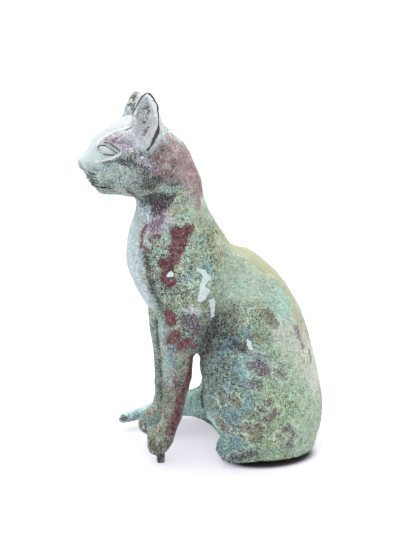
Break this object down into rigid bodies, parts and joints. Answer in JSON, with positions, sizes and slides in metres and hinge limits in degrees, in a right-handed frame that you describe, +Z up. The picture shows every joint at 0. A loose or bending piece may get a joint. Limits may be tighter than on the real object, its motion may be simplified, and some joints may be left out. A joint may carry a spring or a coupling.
{
  "type": "seated cat figure",
  "caption": "Ancient Egyptian bronze figure of a seated cat with upright ears and a curled tail, green with corrosion, one hind foot broken off.",
  "frame": {"origin": "the middle of the bounding box, on the ground that the tangs stand on", "axes": "+Z up, the cat faces -Y, its own left side is +X"},
  "size_m": [0.0598, 0.0982, 0.1476],
  "materials": {
    "bronze": "matt corroded bronze, pale green and olive with red-brown, blue, mauve and white patches"
  },
  "bodies": {
    "root": {"cat": "bronze"}
  },
  "joints": []
}
